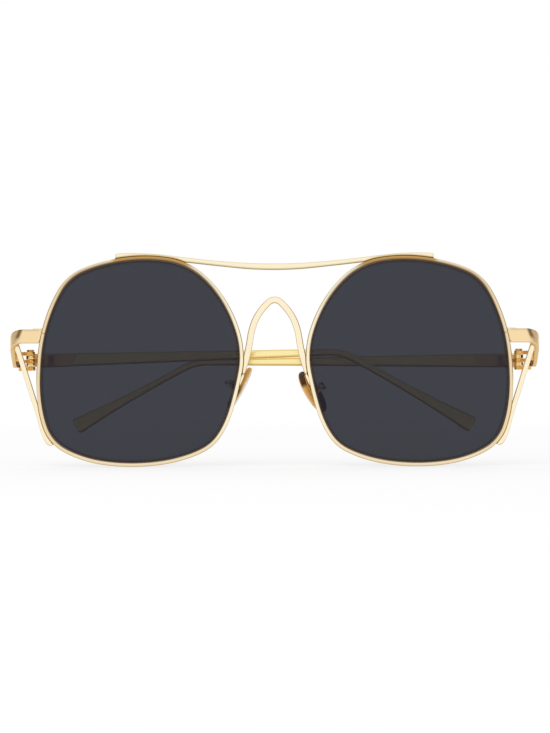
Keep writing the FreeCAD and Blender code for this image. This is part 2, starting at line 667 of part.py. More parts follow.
parts = {"brow_bar": make_brow_bar(), "bridge": make_bridge()}
left_pad_place = pad_placement(LEFT_PAD_OUT, LEFT_PAD_LEVEL, LEFT_SPLAY_ANGLE, LEFT_LEAN_ANGLE)
right_pad_place = pad_placement(RIGHT_PAD_OUT, RIGHT_PAD_LEVEL, RIGHT_SPLAY_ANGLE, RIGHT_LEAN_ANGLE)
left = make_side(LEFT_BEND_RUN, LEFT_TIP_ANGLE, LEFT_FOLD_ANGLE, LEFT_CLIMB_ANGLE, left_pad_place)
right = make_side(RIGHT_BEND_RUN, RIGHT_TIP_ANGLE, RIGHT_FOLD_ANGLE, RIGHT_CLIMB_ANGLE, right_pad_place)
for name in left:
    parts["left_" + name] = left[name]
    parts["right_" + name] = mirrored(right[name])

os.makedirs("parts", exist_ok=True)
for name, shape in parts.items():
    shape.exportStep(os.path.join("parts", name + ".step"))
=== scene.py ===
"""Oversized sunglasses: a gold frame, tinted lenses, folding temples and silicone nose pads."""
import logging
import math
from dataclasses import dataclass, replace
from enum import Enum
from functools import lru_cache
from itertools import product
from typing import Any, Callable, Iterator, Optional, Union

import bmesh
import bpy
from mathutils import Matrix, Vector
from mathutils.bvhtree import BVHTree
from mathutils.geometry import interpolate_bezier


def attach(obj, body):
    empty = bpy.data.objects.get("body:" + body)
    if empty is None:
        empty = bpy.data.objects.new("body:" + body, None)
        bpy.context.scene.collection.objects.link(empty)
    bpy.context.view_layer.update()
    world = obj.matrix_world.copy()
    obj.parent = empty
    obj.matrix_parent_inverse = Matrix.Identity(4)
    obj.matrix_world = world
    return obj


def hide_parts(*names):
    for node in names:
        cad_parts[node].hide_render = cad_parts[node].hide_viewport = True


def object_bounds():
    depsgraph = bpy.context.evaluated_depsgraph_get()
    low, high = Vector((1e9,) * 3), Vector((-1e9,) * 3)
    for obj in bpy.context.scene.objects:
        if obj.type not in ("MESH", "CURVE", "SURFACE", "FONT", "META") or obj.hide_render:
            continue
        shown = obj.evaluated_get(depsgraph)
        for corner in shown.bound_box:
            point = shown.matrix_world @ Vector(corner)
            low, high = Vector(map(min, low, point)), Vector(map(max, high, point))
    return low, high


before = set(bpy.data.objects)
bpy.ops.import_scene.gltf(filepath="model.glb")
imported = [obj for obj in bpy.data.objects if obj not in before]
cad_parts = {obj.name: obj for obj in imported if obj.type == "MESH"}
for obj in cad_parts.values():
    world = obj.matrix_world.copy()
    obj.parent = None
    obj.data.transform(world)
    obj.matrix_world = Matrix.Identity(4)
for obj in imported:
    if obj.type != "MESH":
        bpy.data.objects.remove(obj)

LOG = logging.getLogger("sunglasses")
CAD_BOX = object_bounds()
MM = 0.001
WELD = 0.0005 * MM
BACK = Vector((0.0, 1.0, 0.0))
UP = Vector((0.0, 0.0, 1.0))
FRONT = "front"

Colour = tuple[float, float, float, float]
Scales = tuple[float, float, float]
Range = tuple[float, float]


def colour(red: float, green: float, blue: float) -> Colour:
    """Give an opaque linear colour."""
    return (red, green, blue, 1.0)


WHITE = colour(1.0, 1.0, 1.0)


def eased(value: float, low: float, high: float) -> float:
    """Rise smoothly from 0 at a low value to 1 at a high one."""
    share = min(max((value - low) / (high - low), 0.0), 1.0)
    return share * share * (3.0 - 2.0 * share)


class Side(Enum):
    """The wearer's side that a piece belongs to."""

    LEFT = "left"
    RIGHT = "right"

    @property
    def sign(self) -> int:
        """Give the direction of X on this side."""
        return 1 if self is Side.LEFT else -1

    def node(self, kind: str) -> str:
        """Give the name of this side's node or body of one kind."""
        return f"{self.value}_{kind}"


class Grain(Enum):
    """The way that polishing strokes run, as noise scales per metre."""

    ALONG_X = (90.0, 2600.0, 2600.0)
    ALONG_Z = (2600.0, 2600.0, 90.0)
    EVEN = (900.0, 900.0, 900.0)


class PaintedHighlight(Enum):
    """The faces on which the strongest highlight is painted."""

    FRONT = "front and back"
    UPRIGHT = "every upright face"


class Shade(Enum):
    """The vertex attributes that mark where shade or a reflection is painted into a surface's colour, from 0 to
    1; the core's also marks where a core shows through silicone.
    """

    EDGE = "painted_edge_shade"
    OCHRE = "painted_ochre_shade"
    CORE = "core_and_painted_shade"


class Tap:
    """An output socket that shader maths can be written with."""

    def __init__(self, recipe: "Recipe", socket: bpy.types.NodeSocket) -> None:
        """Keep a socket and the recipe that it belongs to."""
        self.recipe = recipe
        self.socket = socket

    def beside(self, name: str) -> "Tap":
        """Give another output of the same node."""
        return Tap(self.recipe, self.socket.node.outputs[name])

    def maths(self, operation: str, left: "Value", right: "Value" = 0.0) -> "Tap":
        """Add a Math node.

        Args:
            operation: The Math node's operation.
            left: Its first value.
            right: Its second value.

        Returns:
            The result.
        """
        return self.recipe.node("ShaderNodeMath", {"operation": operation}, {0: left, 1: right})

    def __add__(self, other: "Value") -> "Tap":
        """Add a value."""
        return self.maths("ADD", self, other)

    def __radd__(self, other: "Value") -> "Tap":
        """Add to a value."""
        return self.maths("ADD", other, self)

    def __sub__(self, other: "Value") -> "Tap":
        """Take away a value."""
        return self.maths("SUBTRACT", self, other)

    def __rsub__(self, other: "Value") -> "Tap":
        """Take away from a value."""
        return self.maths("SUBTRACT", other, self)

    def __mul__(self, other: "Value") -> "Tap":
        """Multiply by a value."""
        return self.maths("MULTIPLY", self, other)

    def __rmul__(self, other: "Value") -> "Tap":
        """Multiply a value."""
        return self.maths("MULTIPLY", other, self)

    def __abs__(self) -> "Tap":
        """Drop the sign."""
        return self.maths("ABSOLUTE", self)

    def __or__(self, other: "Value") -> "Tap":
        """Give the larger of two values."""
        return self.maths("MAXIMUM", self, other)

    def swing(self, size: float) -> "Tap":
        """Give a swing about 0 of some size, from noise that lies about 0.5."""
        return (self - 0.5) * size

    def eased(self, low: float, high: float) -> "Tap":
        """Rise smoothly from 0 to 1.

        Args:
            low: The value at which the result is 0.
            high: The value at which the result is 1.

        Returns:
            The eased value.
        """
        return self.recipe.node("ShaderNodeMapRange", {"interpolation_type": "SMOOTHSTEP"},
                                {"Value": self, "From Min": low, "From Max": high})


Value = Union[Tap, float]


class Recipe:
    """The nodes of one material, or of the world."""

    def __init__(self, tree: bpy.types.NodeTree) -> None:
        """Start from an empty node tree."""
        tree.nodes.clear()
        self.tree = tree

    def node(self, kind: str, settings: Optional[dict[str, Any]] = None,
             sockets: Optional[dict[Union[int, str], Any]] = None, output: Union[int, str] = 0) -> Tap:
        """Add a node.

        Args:
            kind: The node's type.
            settings: Its properties, which are set first.
            sockets: The value or link of each input, by name or number.
            output: The output that is wanted.

        Returns:
            That output.
        """
        made = self.tree.nodes.new(kind)
        for name, value in (settings or {}).items():
            setattr(made, name, value)
        for name, value in (sockets or {}).items():
            if isinstance(value, Tap):
                self.tree.links.new(value.socket, made.inputs[name])
            else:
                made.inputs[name].default_value = value
        if not len(made.outputs):
            return Tap(self, made.inputs[0])
        return Tap(self, made.outputs[output])

    def mixed(self, factor: Value, first: Any, second: Any) -> Tap:
        """Mix two colours."""
        return self.node("ShaderNodeMix", {"data_type": "RGBA"}, {0: factor, 6: first, 7: second}, 2)

    def noise(self, scales: Scales, detail: float) -> Tap:
        """Add noise on Object coordinates.

        Args:
            scales: Its scale along each axis, per metre.
            detail: The number of finer layers.

        Returns:
            The noise, about 0.5.
        """
        place = self.node("ShaderNodeTexCoord", output="Object")
        stretched = self.node("ShaderNodeMapping", sockets={"Vector": place, "Scale": scales})
        return self.node("ShaderNodeTexNoise", sockets={"Vector": stretched, "Scale": 1.0, "Detail": detail})

    def attribute(self, shade: Shade) -> Tap:
        """Read a vertex attribute, which is 0 where a mesh has none."""
        return self.node("ShaderNodeAttribute", {"attribute_name": shade.value}, output="Fac")

    def bump(self, height: Tap, strength: float, distance: float) -> Tap:
        """Turn a height into a normal."""
        sockets = {"Height": height, "Strength": strength, "Distance": distance}
        return self.node("ShaderNodeBump", sockets=sockets)

    def surface(self, sockets: dict[str, Any]) -> None:
        """Add the Principled surface and its output."""
        shader = self.node("ShaderNodeBsdfPrincipled", sockets=sockets)
        self.node("ShaderNodeOutputMaterial", sockets={"Surface": shader})


@lru_cache(maxsize=None)
def material_of(finish: "Finish") -> bpy.types.Material:
    """Make a finish's material once.

    Args:
        finish: The finish.

    Returns:
        Its material.
    """
    made = bpy.data.materials.new(finish.name)
    made.use_nodes = True
    finish.fill(Recipe(made.node_tree))
    return made


@dataclass(frozen=True)
class Finish:
    """A finish with a name of its own."""

    name: str

    def fill(self, recipe: Recipe) -> None:
        """Add the finish's nodes."""
        raise NotImplementedError


@dataclass(frozen=True)
class GoldPlate(Finish):
    """Polished pale gold, with a painted highlight on front and upward faces and painted shade on narrow and
    downward faces and beside a lens.

    A range says how far a face has turned that way where its tone begins, and where it is full.
    """

    painted_highlight: PaintedHighlight = PaintedHighlight.FRONT
    grain: Grain = Grain.EVEN
    # pale is the gold under the painted highlight and deep its painted shaded tone; ochre and brown are colours
    # of painted shade.
    pale: Colour = colour(0.99, 0.88, 0.635)
    deep: Colour = colour(0.50, 0.33, 0.11)
    ochre: Colour = colour(0.62, 0.36, 0.09)
    brown: Colour = colour(0.085, 0.032, 0.008)
    roughness: float = 0.17
    facing: Range = (0.25, 0.90)
    upward: Range = (0.20, 0.90)
    upward_tone: float = 0.8
    downward: Range = (0.12, 0.65)
    downward_tone: float = 0.75
    cloud_scale: float = 140.0
    cloud_tone: float = 0.16
    cloud_roughness: float = 0.06
    stroke_tone: float = 0.08
    stroke_roughness: float = 0.16
    stroke_strength: float = 0.05
    stroke_depth: float = 0.00004

    def fill(self, recipe: Recipe) -> None:
        """Add the gold's painted highlight and shade, polishing strokes and small waves.

        Args:
            recipe: The material's nodes.
        """
        normal = recipe.node("ShaderNodeTexCoord", output="Normal")
        back = recipe.node("ShaderNodeSeparateXYZ", sockets={0: normal}, output="Y")
        height = back.beside("Z")
        # Painted highlight on faces turned to the front (or upright) and upward, painted shade on faces turned
        # downward.
        level = abs(back) if self.painted_highlight is PaintedHighlight.FRONT else 1.0 - abs(height)
        under = (0.0 - height).eased(*self.downward) * self.downward_tone
        broad = (level.eased(*self.facing) | height.eased(*self.upward) * self.upward_tone) * (1.0 - under)
        strokes = recipe.noise(self.grain.value, detail=3.0)
        cloud = recipe.noise((self.cloud_scale,) * 3, detail=2.0)
        tone = broad + cloud.swing(self.cloud_tone) + strokes.swing(self.stroke_tone)
        gold = recipe.mixed(tone, self.deep, self.pale)
        # Painted shade in ochre where the ochre attribute marks it.
        gold = recipe.mixed(recipe.attribute(Shade.OCHRE), gold, self.ochre)
        recipe.surface({
            # Painted shade in brown beside a lens, where the edge attribute marks it.
            "Base Color": recipe.mixed(recipe.attribute(Shade.EDGE), gold, self.brown),
            "Metallic": 1.0,
            "Roughness": (self.roughness + strokes.swing(self.stroke_roughness)
                          + cloud.swing(self.cloud_roughness)),
            "Normal": recipe.bump(strokes, self.stroke_strength, self.stroke_depth),
        })


@dataclass(frozen=True)
class LensTint(Finish):
    """Even dark grey tint with a trace of blue, with the rim's reflection and shade painted in brown along its
    edge.
    """

    tint: Colour = colour(0.0005, 0.003, 0.017)
    cast: Colour = colour(0.001, 0.005, 0.022)
    # Painted reflection and shade of the rim along the edge: its colour and how opaque it is.
    edge: Colour = colour(0.032, 0.018, 0.006)
    cover: float = 0.79
    edge_cover: float = 0.90
    gloss: float = 0.12
    roughness: float = 0.05
    wipe_roughness: float = 0.05
    drift_scale: float = 45.0
    wipe_scales: Scales = (300.0, 300.0, 60.0)

    def fill(self, recipe: Recipe) -> None:
        """Add the tint, its slow drift, its edge and the hard coat's polish.

        Args:
            recipe: The material's nodes.
        """
        drift = recipe.noise((self.drift_scale,) * 3, detail=2.0)
        wipe = recipe.noise(self.wipe_scales, detail=4.0)
        rim = recipe.attribute(Shade.EDGE)
        recipe.surface({
            "Base Color": recipe.mixed(rim, recipe.mixed(drift, self.tint, self.cast), self.edge),
            "Roughness": self.roughness + wipe * self.wipe_roughness,
            "Specular IOR Level": self.gloss,
            "Alpha": self.cover + rim * (self.edge_cover - self.cover),
        })


@dataclass(frozen=True)
class Silicone(Finish):
    """Clear moulded silicone, satin, painted amber where the core inside shows through it and painted shade in
    brown at one end.
    """

    clear: Colour = colour(1.0, 0.82, 0.52)
    amber: Colour = colour(0.82, 0.43, 0.10)
    brown: Colour = colour(0.03, 0.007, 0.001)
    cover: float = 0.36
    core_cover: float = 0.58
    gloss: float = 0.08
    roughness: float = 0.22
    cloud_scale: float = 260.0
    cloud_tone: float = 0.4
    cloud_cover: float = 0.06
    skin_scale: float = 2400.0
    skin_roughness: float = 0.18
    skin_strength: float = 0.08
    skin_depth: float = 0.00005

    def fill(self, recipe: Recipe) -> None:
        """Add the core's colour seen through it, the painted shade, the silicone's faint clouds and its moulded
        skin.

        Args:
            recipe: The material's nodes.
        """
        cloud = recipe.noise((self.cloud_scale,) * 3, detail=2.0)
        skin = recipe.noise((self.skin_scale,) * 3, detail=2.0)
        core = recipe.attribute(Shade.CORE)
        # Where the core attribute passes 1 it paints shade in brown.
        core_seen_and_painted_shade = recipe.mixed(core - 1.0 + cloud.swing(self.cloud_tone), self.amber, self.brown)
        recipe.surface({
            "Base Color": recipe.mixed(core, self.clear, core_seen_and_painted_shade),
            "Roughness": self.roughness + skin * self.skin_roughness,
            "Specular IOR Level": self.gloss,
            "Alpha": self.cover + cloud * self.cloud_cover + core.eased(0.0, 1.0) * self.core_cover,
            "Normal": recipe.bump(skin, self.skin_strength, self.skin_depth),
        })


@dataclass(frozen=True)
class TurnedScrew(Finish):
    """Turned gold screw, a little redder and duller than the plating."""

    light: Colour = colour(0.80, 0.55, 0.25)
    dark: Colour = colour(0.52, 0.29, 0.09)
    roughness: float = 0.22
    mark_scales: Scales = (1800.0, 1800.0, 5200.0)
    mark_tone: Range = (0.25, 0.75)
    mark_roughness: float = 0.16
    mark_strength: float = 0.12
    mark_depth: float = 0.00004

    def fill(self, recipe: Recipe) -> None:
        """Add the tool marks of turning.

        Args:
            recipe: The material's nodes.
        """
        marks = recipe.noise(self.mark_scales, detail=3.0)
        recipe.surface({
            "Base Color": recipe.mixed(marks.eased(*self.mark_tone), self.dark, self.light),
            "Metallic": 1.0,
            "Roughness": self.roughness + marks * self.mark_roughness,
            "Normal": recipe.bump(marks, self.mark_strength, self.mark_depth),
        })


# Each gold's deep tone is painted shade on faces turned away from the front or downward, darkest on the hinge
# leaves; its ochre is painted shade, and on the end piece a painted dark reflection.
WIRE_GOLD = GoldPlate("wire_gold")
BAR_GOLD = GoldPlate("bar_gold", grain=Grain.ALONG_X, deep=colour(0.60, 0.48, 0.26),
                     ochre=colour(0.46, 0.36, 0.17))
BLADE_GOLD = GoldPlate("blade_gold", grain=Grain.ALONG_X, pale=colour(0.99, 0.84, 0.41))
STRIP_GOLD = GoldPlate("strip_gold", PaintedHighlight.UPRIGHT, Grain.ALONG_Z, pale=colour(0.97, 0.75, 0.44),
                       deep=colour(0.80, 0.56, 0.26), ochre=colour(0.24, 0.15, 0.055), roughness=0.42)
HINGE_GOLD = GoldPlate("hinge_gold", pale=colour(0.74, 0.42, 0.12), deep=colour(0.10, 0.03, 0.004))
LEAF_GOLD = GoldPlate("leaf_gold", pale=colour(0.92, 0.68, 0.30), deep=colour(0.30, 0.13, 0.025))
CORE_GOLD = GoldPlate("core_gold", pale=colour(0.78, 0.42, 0.11), deep=colour(0.22, 0.08, 0.015))
LENS_TINT = LensTint("lens_tint")
PAD_SILICONE = Silicone("pad_silicone")
SCREW_GOLD = TurnedScrew("screw_gold")


class Slot(Enum):
    """The record's material slots."""

    METAL = "gold_metal"
    LENS = "lens_tint"
    PAD = "pad_silicone"
    SCREW = "screw_metal"


def joined_copy(node: str) -> bmesh.types.BMesh:
    """Copy a CAD node's mesh and join its loose triangles.

    Args:
        node: The node's name.

    Returns:
        The joined mesh.
    """
    form = bmesh.new()
    form.from_mesh(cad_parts[node].data)
    bmesh.ops.remove_doubles(form, verts=form.verts[:], dist=WELD)
    return form


def surface_of(node: str) -> BVHTree:
    """Read a CAD node's surface.

    Args:
        node: The node's name.

    Returns:
        The surface, to cast rays at.
    """
    solid = joined_copy(node)
    solid.normal_update()
    tree = BVHTree.FromBMesh(solid)
    solid.free()
    return tree


def sharp_edges(form: bmesh.types.BMesh, angle: float = 32.0) -> list[bmesh.types.BMEdge]:
    """Find the edges where two faces meet at more than an angle.

    Args:
        form: The mesh.
        angle: The angle in degrees.

    Returns:
        The sharp edges.
    """
    limit = math.radians(angle)
    return [edge for edge in form.edges if edge.is_manifold and edge.calc_face_angle() > limit]


ROUND_SHARES = (1.0, 0.7, 0.5, 0.3)
FLAT_ANGLES = (0.4, 0.02)
TINY_SHARES = (0.0, 0.5)


@dataclass(frozen=True)
class Rounding:
    """One way to round a CAD node's sharp edges.

    Faces that meet at less than the flat angle are made one, and edges under the tiny length are closed up.
    The metal behind an edge has to be so many times thicker than the rounding is wide, probed from just inside.
    Lengths are in millimetres, angles in degrees.
    """

    width: float
    flat: float
    tiny: float
    steps: int = 3
    probe: float = 0.02
    room: float = 2.1

    @staticmethod
    def tries(width: float) -> list["Rounding"]:
        """Give the roundings to try, from the widest to the narrowest."""
        return [Rounding(width * share, flat, width * tiny)
                for share, flat, tiny in product(ROUND_SHARES, FLAT_ANGLES, TINY_SHARES)]

    def has_room(self, edge: bmesh.types.BMEdge, tree: BVHTree) -> bool:
        """Tell whether the metal behind both faces of an edge is thick enough to round the edge.

        Args:
            edge: The edge.
            tree: The mesh that it belongs to.

        Returns:
            True if the rounding fits.
        """
        if not edge.is_convex:
            return False
        one, other = edge.link_faces
        inside = (edge.verts[0].co + edge.verts[1].co) / 2 - (one.normal + other.normal) * self.probe * MM
        depths = [tree.ray_cast(inside, -face.normal)[3] for face in (one, other)]
        return all(depth is not None and depth > self.room * (self.width * MM) for depth in depths)

    def rounded(self, node: str) -> bmesh.types.BMesh:
        """Copy a CAD node with flat faces made whole, tiny edges closed up and sharp edges rounded.

        Args:
            node: The node's name.

        Returns:
            The rounded mesh.
        """
        form = joined_copy(node)
        bmesh.ops.dissolve_limit(form, angle_limit=math.radians(self.flat), verts=form.verts[:],
                                 edges=form.edges[:])
        bmesh.ops.dissolve_degenerate(form, dist=self.tiny * MM, edges=form.edges[:])
        form.normal_update()
        tree = BVHTree.FromBMesh(form)
        edges = [edge for edge in sharp_edges(form) if self.has_room(edge, tree)]
        bmesh.ops.bevel(form, geom=edges, offset=self.width * MM, offset_type="OFFSET", segments=self.steps,
                        profile=0.5, affect="EDGES", clamp_overlap=False, material=-1)
        bmesh.ops.remove_doubles(form, verts=form.verts[:], dist=WELD)
        return form


def turned_area(form: bmesh.types.BMesh, tree: BVHTree, agreement: float = 0.3) -> float:
    """Add up the faces that face against the CAD surface beside them.

    Args:
        form: The mesh.
        tree: The CAD surface.
        agreement: The least share of a face's direction that has to follow the surface's.

    Returns:
        Their area in square millimetres.
    """
    plain = form.copy()
    bmesh.ops.triangulate(plain, faces=plain.faces[:])
    plain.normal_update()
    turned = sum(face.calc_area() for face in plain.faces
                 if face.normal.dot(tree.find_nearest(face.calc_center_median())[1]) < agreement)
    plain.free()
    return turned / MM ** 2


def softened_copy(node: str, width: float, most_turned: float = 0.01) -> bmesh.types.BMesh:
    """Copy a CAD node with its sharp edges rounded as widely as leaves no face turned over.

    Args:
        node: The node's name.
        width: The widest rounding in millimetres.
        most_turned: The area in square millimetres that may be turned over.

    Returns:
        The softened mesh.
    """
    tree = surface_of(node)
    for rounding in Rounding.tries(width):
        form = rounding.rounded(node)
        if turned_area(form, tree) < most_turned:
            LOG.info("%s: edges rounded by %.2f mm", node, rounding.width)
            return form
        form.free()
    LOG.info("%s: edges left as they are", node)
    return joined_copy(node)


def woven(columns: int, rows: int) -> tuple[bmesh.types.BMesh, list[tuple[bmesh.types.BMVert, int, int]]]:
    """Make a grid to be shaped, with a layer for each shade.

    Args:
        columns: The number of corners one way.
        rows: The number of corners the other way.

    Returns:
        The mesh, and each corner with its column and row.
    """
    form = bmesh.new()
    for shade in Shade:
        form.verts.layers.float.new(shade.value)
    bmesh.ops.create_grid(form, x_segments=columns - 1, y_segments=rows - 1, size=1.0)
    across, up = (columns - 1) / 2, (rows - 1) / 2
    return form, [(vert, round((vert.co.x + 1) * across), round((vert.co.y + 1) * up)) for vert in form.verts]


def closed_up(form: bmesh.types.BMesh) -> bmesh.types.BMesh:
    """Join a shaped grid along its seams, fill its open ends and turn its faces outward.

    Args:
        form: The shaped grid.

    Returns:
        The same mesh, closed.
    """
    bmesh.ops.remove_doubles(form, verts=form.verts[:], dist=WELD)
    bmesh.ops.holes_fill(form, edges=[edge for edge in form.edges if edge.is_boundary], sides=0)
    bmesh.ops.recalc_face_normals(form, faces=form.faces[:])
    return form


def sideways(before: Vector, after: Vector, towards: Vector) -> Vector:
    """Give the direction square to a step and to BACK, on the side that another direction points to."""
    across = (after - before).cross(BACK).normalized()
    return across if across.dot(towards) > 0 else -across


def neighbours(middles: list[Vector]) -> Iterator[tuple[Vector, Vector, Vector]]:
    """Give each middle between the one before it and the one after it, which at an end is itself."""
    return zip(middles[:1] + middles, middles, middles[1:] + middles[-1:])


class SubAssembly:
    """Pieces that are made together and dressed in their finishes."""

    def build(self) -> list[bpy.types.Object]:
        """Make and dress the pieces."""
        raise NotImplementedError

    def piece(self, form: bmesh.types.BMesh, name: str, body: str, slot: Slot, finish: Finish,
              node: str) -> bpy.types.Object:
        """Turn a mesh into a dressed piece on its body, kept within the CAD model's box.

        Args:
            form: The mesh, which is used up.
            name: The piece's name.
            body: The body that it rides on.
            slot: The record's material slot, which is not used.
            finish: The finish that it wears.
            node: The CAD node that it stands for.

        Returns:
            The piece.
        """
        for face in form.faces:
            face.smooth = True
        for vert in form.verts:
            vert.co = [min(max(place, low), high) for place, low, high in zip(vert.co, *CAD_BOX)]
        mesh = bpy.data.meshes.new(name)
        form.to_mesh(mesh)
        form.free()
        mesh.materials.append(material_of(finish))
        made = bpy.data.objects.new(name, mesh)
        bpy.context.scene.collection.objects.link(made)
        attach(made, body)
        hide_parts(node)
        LOG.info("%s on %s: %d faces", name, body, len(mesh.polygons))
        return made

    def metal(self, node: str, edge: float, body: str, finish: Finish,
              slot: Slot = Slot.METAL) -> bpy.types.Object:
        """Make a metal piece from a CAD node, with rounded edges and even shading.

        Args:
            node: The CAD node.
            edge: The width of its rounded edges in millimetres.
            body: The body that it rides on.
            finish: The finish that it wears.
            slot: The record's material slot.

        Returns:
            The piece.
        """
        return self.smooth_metal(softened_copy(node, edge), node, body, finish, slot)

    def screw(self, node: str, edge: float) -> bpy.types.Object:
        """Make a screw in the front from a CAD node, with edges rounded by so many millimetres."""
        return self.metal(node, edge, FRONT, SCREW_GOLD, Slot.SCREW)

    def smooth_metal(self, form: bmesh.types.BMesh, node: str, body: str, finish: Finish,
                     slot: Slot = Slot.METAL) -> bpy.types.Object:
        """Turn a mesh into a metal piece with even shading.

        Args:
            form: The mesh, which is used up.
            node: The CAD node that it stands for.
            body: The body that it rides on.
            finish: The finish that it wears.
            slot: The record's material slot.

        Returns:
            The piece.
        """
        for edge in sharp_edges(form):
            edge.smooth = False
        made = self.piece(form, f"{node}_polished", body, slot, finish, node)
        shading = made.modifiers.new("even_shading", "WEIGHTED_NORMAL")
        shading.keep_sharp = True
        return made


@dataclass
class Place:
    """A place inside a strip, with the two directions that cross the strip there."""

    middle: Vector
    across: Vector
    through: Vector
    kept: float = 1.0
    turn: float = 0.0

    def centred(self, tree: BVHTree, way: Vector) -> "Place":
        """Move the place to the middle of the strip along one direction."""
        ends = [tree.ray_cast(self.middle + away, -away)[0] for away in (way, -way)]
        return replace(self, middle=(ends[0] + ends[1]) / 2)


# A rule for the shade painted into a strip's colour, from its place, height and depth.
ShadeRule = Callable[[Place, float, float], float]


def unshaded(place: Place, height: float, deep: float) -> float:
    """Leave a strip without painted shade."""
    return 0.0


def shaded_below(reach: float) -> ShadeRule:
    """Paint shade along a strip's lower edge, up to a height in millimetres."""
    return lambda place, height, deep: 1.0 - eased(height, 0.0, reach)


@dataclass
class Strip:
    """A CAD strip covered afresh in even rows, with its long edges rounded. Lengths are in millimetres."""

    node: str
    edge: float
    shade: ShadeRule = unshaded
    round_steps: int = 5
    face_steps: int = 5
    most_round: float = 0.45

    def __post_init__(self) -> None:
        """Read the CAD strip's surface."""
        self.tree = surface_of(self.node)

    def covered(self, places: list[Place]) -> bmesh.types.BMesh:
        """Cover the strip from place to place.

        Args:
            places: The places along the strip's middle.

        Returns:
            The strip's mesh, with its painted shade marked.
        """
        sections = [self.section(place) for place in places]
        form, corners = woven(len(places), len(sections[0]) + 1)
        shade = form.verts.layers.float[Shade.OCHRE.value]
        for vert, column, row in corners:
            vert.co, height, deep = sections[column][row % len(sections[0])]
            vert[shade] = self.shade(places[column], height, deep)
        return closed_up(form)

    def section(self, place: Place) -> list[tuple[Vector, float, float]]:
        """Give the strip's rounded outline round a place.

        Args:
            place: The place on the strip's middle.

        Returns:
            The outline's points, each with its height over the lower edge and its depth.
        """
        high, low, back, front = (self.tree.ray_cast(place.middle, way)[3] / MM for way in (
            place.across, -place.across, place.through, -place.through))
        high = place.kept * (high + low) - low
        turn = min(self.edge, self.most_round * (high + low), self.most_round * (back + front))
        corners = ((high - turn, back - turn), (turn - low, back - turn),
                   (turn - low, turn - front), (high - turn, turn - front))
        spots = []
        for number, (up, deep) in enumerate(corners):
            for step in range(self.round_steps + 1):
                angle = math.radians(90 * (number + step / self.round_steps))
                spots.append((up + turn * math.cos(angle), deep + turn * math.sin(angle)))
            rise = (corners[(number + 1) % 4][0] - up) / (self.face_steps + 1)
            if number in (0, 2):
                spots += [(up + rise * step, spots[-1][1]) for step in range(1, self.face_steps + 1)]
        return [(place.middle + (place.across * up + place.through * deep) * MM, up + low, deep)
                for up, deep in spots]


@dataclass
class BrowBar(SubAssembly):
    """The bar over both rims. Lengths are in millimetres."""

    reach: float = 44.9
    edge: float = 0.42
    shade_reach: float = 0.7
    spacing: float = 0.5
    end_steps: tuple[float, ...] = (0.02, 0.06, 0.12, 0.2, 0.3, 0.42)

    def build(self) -> list[bpy.types.Object]:
        """Make the bar, with painted shade along its lower edge.

        Returns:
            The bar.
        """
        strip = Strip("brow_bar", self.edge, shaded_below(self.shade_reach))
        half = [self.reach - step for step in self.end_steps]
        half += [self.spacing * count for count in range(int(self.reach / self.spacing), 0, -1)]
        places = [Place(Vector((across * MM, 0.0, 0.0)), UP, BACK).centred(strip.tree, UP)
                  for across in half + [0.0] + [-across for across in reversed(half)]]
        return [self.smooth_metal(strip.covered(places), strip.node, FRONT, BAR_GOLD)]


@dataclass
class Bridge(SubAssembly):
    """The arched bridge with its feet along the rims. Lengths are in millimetres."""

    edge: float = 0.40

    def build(self) -> list[bpy.types.Object]:
        """Make the bridge."""
        return [self.metal("bridge", self.edge, FRONT, WIRE_GOLD)]


